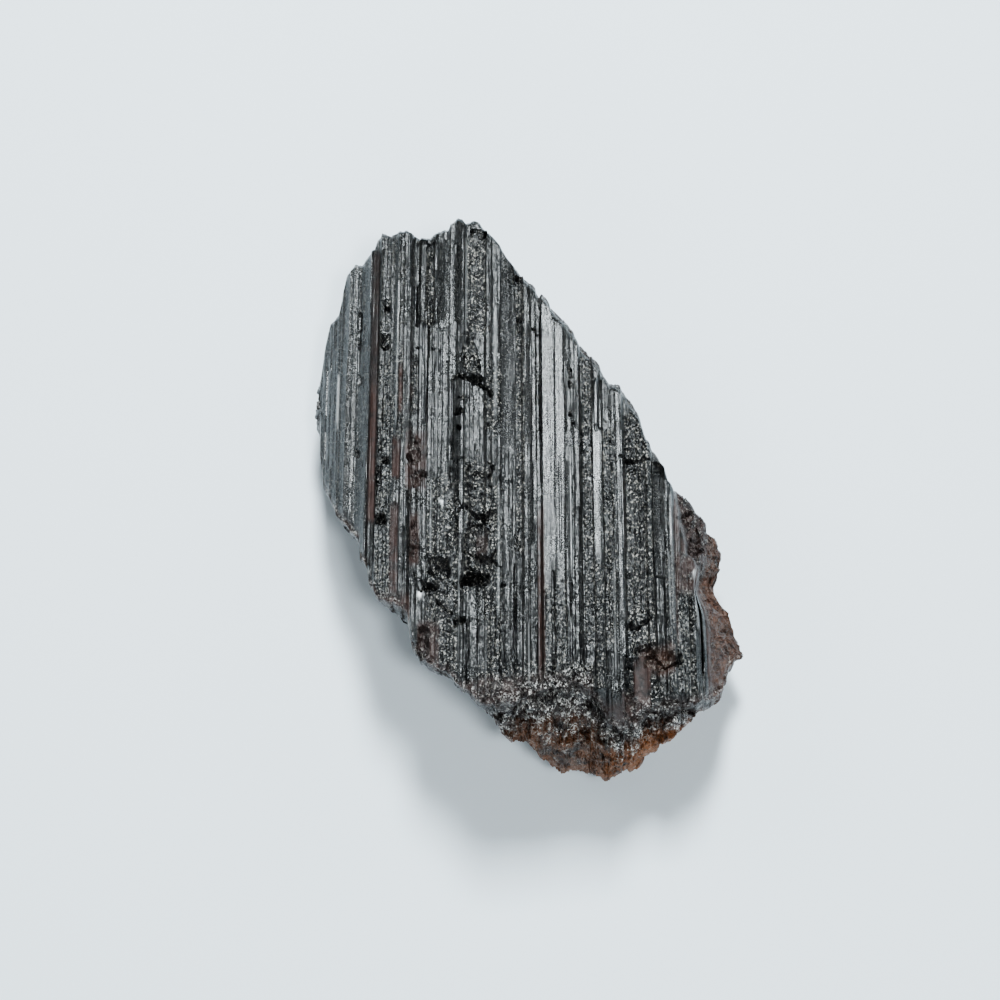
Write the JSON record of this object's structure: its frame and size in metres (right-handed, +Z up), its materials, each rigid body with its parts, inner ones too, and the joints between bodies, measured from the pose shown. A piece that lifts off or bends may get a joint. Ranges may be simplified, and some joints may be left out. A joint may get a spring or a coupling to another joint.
{
  "type": "rough black tourmaline crystal",
  "caption": "Broken piece of a black tourmaline prism, long and flattish, with striations along its whole length, broken ends, hollows and a flat underside to lie on.",
  "frame": {"origin": "centre of the bounding box on the surface that the stone lies on", "axes": "+Y along the striations to the far end, +X across them, +Z up from the surface"},
  "size_m": [0.0414, 0.056, 0.0185],
  "materials": {
    "tourmaline": "dark grey to black, glassy on smooth striations and dull where broken, with brown iron stain"
  },
  "bodies": {
    "root": {"tourmaline_crystal": "tourmaline"}
  },
  "joints": []
}
